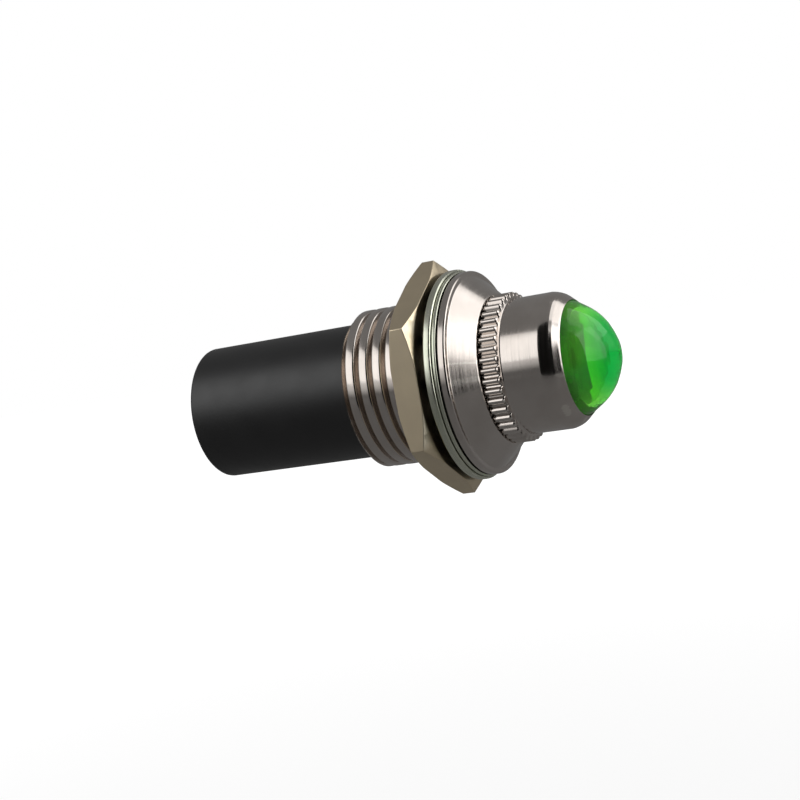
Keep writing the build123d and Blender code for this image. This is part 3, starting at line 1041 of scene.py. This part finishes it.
@dataclass
class LensCap(Assembly):
    """Screw cap with its milled grip and rolled lip."""

    teeth: int = 44
    tooth: Sequence[float] = (0.0, 0.08, 0.42, 0.82, 0.97, 1.0, 0.97, 0.82, 0.42, 0.08)
    groove_floor: float = 7.52
    grip_end: float = 5.3
    grip_rounding: tuple[float, float] = (0.06, 0.05)
    rear: float = 3.21
    rear_chamfer: float = 0.15
    counterbore_end: float = 4.16
    counterbore: float = 6.93
    bore: float = 6.56
    grip_radius: float = 8.02
    grip_front: float = 5.0
    lens_seat: float = 10.35
    lip_radius: float = 6.12
    shoulder: Sequence[tuple[float, float]] = (
        (5.12, 7.9),
        (5.19, 7.62),
        (5.24, 7.4),
        (5.29, 7.31),
        (5.38, 7.28),
    )
    lip: Sequence[tuple[float, float]] = (
        (9.5, 7.28),
        (9.7, 7.25),
        (9.95, 7.19),
        (10.25, 7.09),
        (10.55, 6.95),
        (10.82, 6.76),
        (11.07, 6.54),
        (11.28, 6.36),
        (11.42, 6.24),
        (11.49, 6.17),
        (11.5, 6.15),
        (11.47, 6.12),
    )

    def section(self) -> Section:
        """Closed section of the cap."""
        grip, chamfer = self.grip_radius, self.rear_chamfer
        rear_rounding, front_rounding = self.grip_rounding
        return (
            (self.counterbore_end, self.bore, 0.0),
            (self.counterbore_end, self.counterbore, 0.0),
            (self.rear, self.counterbore, 0.08),
            (self.rear, grip - chamfer, 0.0),
            (self.rear + chamfer, grip, rear_rounding),
            (self.grip_front, grip, front_rounding),
            *((forward, radius, 0.0) for forward, radius in (*self.shoulder, *self.lip)),
            (self.lens_seat, self.lip_radius, 0.0),
            (self.lens_seat, self.bore, 0.0),
        )

    def mill(self, mesh: bmesh.types.BMesh) -> None:
        """Press the grooves of the grip inwards, column by column."""
        columns = len(self.tooth)
        floor = self.groove_floor
        for vert in mesh.verts:
            forward = -vert.co.y / MM
            radius = radius_of(vert)
            if forward > self.grip_end or radius <= floor:
                continue
            column = round(math.atan2(vert.co.x, vert.co.z) / math.tau * self.teeth * columns) % columns
            set_radius(vert, floor + (radius - floor) * self.tooth[column])

    def build(self) -> None:
        """Build the cap and mill its grip."""
        mesh = bmesh.new()
        spin_section(mesh, self.section(), steps=self.teeth * len(self.tooth))
        self.mill(mesh)
        cap = to_piece(mesh, "screw_cap", smooth_angle=35.0)
        self.fit(cap, "cap", Slot.NICKEL, "lens_cap")
        self.keep(("lens_retainer", "lens_gasket"))


@dataclass
class Lens(Assembly):
    """Hollow green dome behind the cap's lip."""

    rear: float = 9.45
    seat: float = 10.35
    flange_radius: float = 6.51
    outside: Sequence[tuple[float, float]] = (
        (11.5, 6.07),
        (12.0, 5.77),
        (12.5, 5.45),
        (13.0, 5.12),
        (13.5, 4.72),
        (14.0, 4.22),
        (14.5, 3.6),
        (15.0, 2.72),
        (15.4, 1.86),
        (15.65, 1.02),
        (15.8, 0.0),
    )
    inside: Sequence[tuple[float, float]] = (
        (14.5, 0.0),
        (14.4, 0.95),
        (14.1, 1.95),
        (13.66, 2.95),
        (13.1, 3.85),
        (12.5, 4.5),
        (11.8, 4.93),
        (11.2, 4.98),
    )
    cuts: int = 3
    steps: int = 192

    def build(self) -> None:
        """Turn the lens from its outer and inner outlines."""
        mesh = bmesh.new()
        section = (
            (self.rear, self.inside[-1][1], 0.0),
            (self.rear, self.flange_radius, 0.06),
            (self.seat, self.flange_radius, 0.06),
            (self.seat, self.outside[0][1], 0.0),
            *((forward, radius, 0.0) for forward, radius in self.outside),
        )
        self.curve(mesh, section, len(self.outside) - 1)
        inner = self.curve(mesh, [(f, r, 0.0) for f, r in self.inside], len(self.inside) - 1)
        last = max((vert for edge in inner for vert in edge.verts), key=lambda vert: vert.co.y)
        mesh.edges.new((last, mesh.verts.new(point(self.rear, self.inside[-1][1]))))
        bmesh.ops.remove_doubles(mesh, verts=mesh.verts, dist=WELD)
        spin_round(mesh, list(mesh.edges), self.steps)
        self.fit(to_piece(mesh, "lens_dome", smooth_angle=40.0), "cap", Slot.LENS, "lens")

    def curve(self, mesh: bmesh.types.BMesh, section: Section, spans: int) -> list[bmesh.types.BMEdge]:
        """Draw an outline whose curved spans are cut finer.

        Args:
            mesh: Mesh to draw in.
            section: Points of the outline, with the curved spans at its end or all along it.
            spans: Number of curved spans, counted from the last point.

        Returns:
            The edges of the finished outline.
        """
        before = set(mesh.edges)
        edges = outline(mesh, section, closed=False)
        bmesh.ops.subdivide_edges(mesh, edges=edges[-spans:], cuts=self.cuts, smooth=0.0)
        return [edge for edge in mesh.edges if edge not in before]


@dataclass
class Body(Assembly):
    """Black tube behind the thread."""

    spigot_front: float = -2.4
    spigot_radius: float = 6.85
    barrel_rear: float = -12.6
    radius: float = 7.45
    rear: float = -32.5
    bore: float = 6.0
    mouth: float = 6.35
    plate_front: float = -24.4
    groove: tuple[float, float, float] = (-25.6, -26.12, 6.7)

    def build(self) -> None:
        """Turn the tube."""
        groove_front, groove_rear, groove_radius = self.groove
        section = (
            (self.spigot_front, self.bore, 0.0),
            (self.spigot_front, self.spigot_radius, 0.1),
            (self.barrel_rear, self.spigot_radius, 0.0),
            (self.barrel_rear, self.radius, 0.1),
            (self.rear, self.radius, 0.34),
            (self.rear, self.mouth, 0.16),
            (groove_rear, self.mouth, 0.03),
            (groove_rear, groove_radius, 0.0),
            (groove_front, groove_radius, 0.0),
            (groove_front, self.mouth, 0.03),
            (self.plate_front, self.mouth, 0.0),
            (self.plate_front, self.bore, 0.0),
        )
        self.fit(turned("moulded_tube", section), "housing", Slot.BLACK, "body_tube")


@dataclass
class Inside(Assembly):
    """Lamp, bayonet shell, sprung contact and terminals."""

    nodes_kept: tuple[str, ...] = (
        "socket_shell",
        "glass_bulb",
        "filament_mount",
        "lamp_base",
        "base_insulator",
        "lamp_contact",
        "contact_button",
        "contact_disc",
        "terminal_plate",
        "centre_terminal",
        "centre_rivet",
        "retaining_ring",
    )
    spring_ends: tuple[float, float] = (-20.77, -24.38)
    spring_radius: float = 2.0
    spring_turns: float = 4.5
    wire_radius: float = 0.2
    wire_sides: int = 16
    steps_per_turn: int = 48
    push: float = 1.0

    def build(self) -> None:
        """Dress the CAD nodes inside the tube and wind the contact spring."""
        self.keep(self.nodes_kept)
        self.build_spring()

    def build_spring(self) -> None:
        """Wind the spring behind the contact disc, with a mesh of its own."""
        front, rear = self.spring_ends
        length = front - rear
        steps = round(self.spring_turns * self.steps_per_turn)
        mesh = bmesh.new()
        bmesh.ops.create_circle(mesh, cap_ends=False, segments=self.wire_sides, radius=self.wire_radius * MM)
        bmesh.ops.rotate(mesh, verts=mesh.verts, matrix=Matrix.Rotation(math.pi / 2.0, 3, "Y"))
        bmesh.ops.translate(mesh, verts=mesh.verts, vec=point(front - self.wire_radius, self.spring_radius))
        wind(mesh, self.spring_turns, steps, length - 2.0 * self.wire_radius)
        bmesh.ops.holes_fill(mesh, edges=[edge for edge in mesh.edges if edge.is_boundary], sides=0)
        bmesh.ops.recalc_face_normals(mesh, faces=mesh.faces)
        spring = to_piece(mesh, "coiled_spring")
        self.fit(spring, "housing", Slot.SPRING, "contact_spring")
        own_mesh(spring)


# Studio


@dataclass(frozen=True)
class SoftLamp:
    """Square soft lamp that faces the object, placed by its direction."""

    name: str
    heading: float
    height: float
    half_angle: float
    brightness: float
    distance: float = 0.6

    def direction(self) -> Vector:
        """Direction from the object, by degrees from +Y towards +X and degrees above level."""
        return aim(self.heading, self.height)

    def build(self) -> None:
        """Add the lamp, with the power that gives its face this brightness."""
        side = 2.0 * self.distance * math.tan(math.radians(self.half_angle))
        light = bpy.data.lights.new(self.name, "AREA")
        light.size = side
        light.energy = self.brightness * math.pi * side * side
        lamp = bpy.data.objects.new(self.name, light)
        lamp.location = self.direction() * self.distance
        lamp.rotation_euler = self.direction().to_track_quat("Z", "Y").to_euler()
        bpy.context.scene.collection.objects.link(lamp)


@dataclass(frozen=True)
class DarkCard:
    """Upright dark card that only reflections and light meet, as round a camera."""

    name: str
    heading: float
    distance: float
    half_width: float
    low: float
    high: float
    shade: float = 0.01

    def build(self) -> None:
        """Add the card with its material."""
        mesh = bmesh.new()
        bmesh.ops.create_grid(mesh, x_segments=1, y_segments=1, size=1.0)
        middle = (self.low + self.high) / 2.0
        bmesh.ops.scale(mesh, verts=mesh.verts, vec=(self.half_width, (self.high - self.low) / 2.0, 1.0))
        bmesh.ops.rotate(mesh, verts=mesh.verts, matrix=Matrix.Rotation(math.pi / 2.0, 3, "X"))
        bmesh.ops.rotate(mesh, verts=mesh.verts, matrix=Matrix.Rotation(math.radians(-self.heading), 3, "Z"))
        bmesh.ops.translate(mesh, verts=mesh.verts, vec=aim(self.heading, 0.0) * self.distance)
        bmesh.ops.translate(mesh, verts=mesh.verts, vec=(0.0, 0.0, middle))
        card = to_piece(mesh, self.name)
        shader = Shader(self.name)
        shader.fix(Base_Color=(self.shade, self.shade, self.shade, 1.0), Roughness=1.0, Specular_IOR_Level=0.0)
        clear = shader.add("ShaderNodeBsdfTransparent")
        rays = shader.add("ShaderNodeLightPath")
        seen = shader.mix((rays, "Is Camera Ray"), shader.surface, clear)
        shader.join(seen, 0, shader.output, 0)
        card.data.materials.append(shader.material)


class WorldTree(NodeTree):
    """Node tree of the world, with helpers for values that change with direction."""

    def __init__(self) -> None:
        """Make the world."""
        world = bpy.data.worlds.new("studio_world")
        bpy.context.scene.world = world
        super().__init__(world)

    def towards(self, direction: Vector) -> bpy.types.Node:
        """Cosine of the angle between a ray and a direction, on output Value."""
        node = self.add("ShaderNodeVectorMath", operation="DOT_PRODUCT")
        node.inputs[1].default_value = direction
        self.join(self.place, "Generated", node, 0)
        return node

    def eased(self, cosine: bpy.types.Node, low: float, high: float, span: tuple[float, float]) -> Output:
        """Ease from one level to another as a cosine passes a span."""
        return self.spread(cosine, low, high, *span, out="Value", smooth=True), 0

    def background(self, strength: float) -> bpy.types.Node:
        """White background of a strength."""
        node = self.add("ShaderNodeBackground")
        node.inputs["Color"].default_value = (1.0, 1.0, 1.0, 1.0)
        node.inputs["Strength"].default_value = strength
        return node


def aim(heading: float, height: float) -> Vector:
    """Direction from degrees round from +Y towards +X and degrees above level."""
    turn, lift = math.radians(heading), math.radians(height)
    return Vector((math.sin(turn) * math.cos(lift), math.cos(turn) * math.cos(lift), math.sin(lift)))


@dataclass
class Studio:
    """Pale floor, soft lamps, white backdrop and the camera at the photograph's angle."""

    floor_level: float = -60.0
    floor_size: float = 1.6
    floor_shade: float = 0.22
    floor_white: tuple[float, float] = (0.8, 1.0)
    floor_fade: tuple[float, float] = (0.06, 0.4)
    camera_place: tuple[float, float, float] = (-158.9, -66.0, 9.8)
    camera_right: tuple[float, float, float] = (0.4144, -0.8925, -0.1784)
    camera_up: tuple[float, float, float] = (0.1345, -0.1338, 0.9818)
    camera_lens: float = 71.9
    soft_light: float = 0.5
    unlit: float = 0.2
    lit: float = 0.72
    white_side: float = -125.0
    horizon: tuple[float, float] = (-0.06, 0.18)
    zenith: tuple[float, float] = (0.68, 0.86)
    side_edge: tuple[float, float] = (-0.45, -0.1)
    card: DarkCard = DarkCard("camera_card", -115.5, 0.2, 0.177, -0.059, 0.5)
    lamps: list[SoftLamp] = field(
        default_factory=lambda: [
            SoftLamp("rear_left_lamp", -52.0, 34.0, 20.0, 0.75),
            SoftLamp("front_lamp", -174.0, 17.0, 27.0, 1.25, 0.4),
            SoftLamp("front_right_lamp", 146.0, 42.0, 22.0, 1.0),
        ]
    )

    def build(self) -> None:
        """Set up the floor, the world, the lamps and the camera."""
        self.build_floor()
        self.build_world()
        for lamp in self.lamps:
            lamp.build()
        self.card.build()
        self.build_camera()
        bpy.context.scene.view_settings.view_transform = "Standard"

    def build_floor(self) -> None:
        """Make the floor, white to the camera with the object's shadow on it."""
        mesh = bmesh.new()
        bmesh.ops.create_grid(mesh, x_segments=1, y_segments=1, size=self.floor_size)
        bmesh.ops.translate(mesh, verts=mesh.verts, vec=(0.0, 0.0, self.floor_level * MM))
        floor = to_piece(mesh, "studio_floor")
        shader = Shader("pale_floor")
        shade = self.floor_shade
        shader.fix(Base_Color=(shade, shade, shade, 1.0), Roughness=0.9, Specular_IOR_Level=0.0)
        away = shader.add("ShaderNodeVectorMath", operation="LENGTH")
        shader.join(shader.place, "Object", away, 0)
        white = shader.spread(away, *self.floor_white, *self.floor_fade, out="Value")
        strength = shader.calculate("MULTIPLY", (shader.to_camera_or_glass(), 0), (white, 0))
        glow = shader.add("ShaderNodeEmission")
        shader.join(strength, 0, glow, "Strength")
        both = shader.add("ShaderNodeAddShader")
        shader.join(shader.surface, 0, both, 0)
        shader.join(glow, 0, both, 1)
        shader.join(both, 0, shader.output, 0)
        floor.data.materials.append(shader.material)

    def build_world(self) -> None:
        """White to the camera and through glass; metal sees the white backdrop and the unlit rest."""
        world = WorldTree()
        up = world.towards(Vector((0.0, 0.0, 1.0)))
        foot = world.eased(up, 0.0, 1.0, self.horizon)
        top = world.eased(up, 1.0, 0.0, self.zenith)
        side = world.eased(world.towards(aim(self.white_side, 0.0)), 0.0, 1.0, self.side_edge)
        share = world.calculate("MULTIPLY", foot, top)
        share = world.calculate("MULTIPLY", (share, 0), side)
        strength = world.calculate("MULTIPLY_ADD", (share, 0), self.lit - self.unlit)
        strength.inputs[2].default_value = self.unlit
        metal = world.background(1.0)
        world.join(strength, 0, metal, "Strength")
        rays = world.add("ShaderNodeLightPath")
        light = world.mix((rays, "Is Glossy Ray"), world.background(self.soft_light), metal)
        final = world.mix((world.to_camera_or_glass(), 0), light, world.background(1.0))
        world.join(final, 0, world.add("ShaderNodeOutputWorld"), "Surface")

    def build_camera(self) -> None:
        """Put the camera where the photograph was taken."""
        lens = bpy.data.cameras.new("photo_camera")
        lens.lens = self.camera_lens
        lens.clip_start = 0.005
        right = Vector(self.camera_right).normalized()
        up = Vector(self.camera_up).normalized()
        back = right.cross(up).normalized()
        up = back.cross(right)
        turn = Matrix((right, up, back)).transposed().to_4x4()
        camera = bpy.data.objects.new("photo_camera", lens)
        camera.matrix_world = Matrix.Translation(Vector(self.camera_place) * MM) @ turn
        bpy.context.scene.collection.objects.link(camera)
        bpy.context.scene.camera = camera


def main() -> None:
    """Load the frame, build every sub-assembly and set up the studio."""
    logging.basicConfig(level=logging.INFO, format="%(name)s: %(message)s")
    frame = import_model()
    palette = Palette()
    nodes = frame["nodes"]
    assemblies: tuple[Callable[..., Assembly], ...] = (Bushing, PanelHardware, LensCap, Lens, Body, Inside)
    for assembly in assemblies:
        assembly(nodes, palette).build()
    Studio().build()
    bpy.context.view_layer.update()


if __name__ == "__main__":
    main()
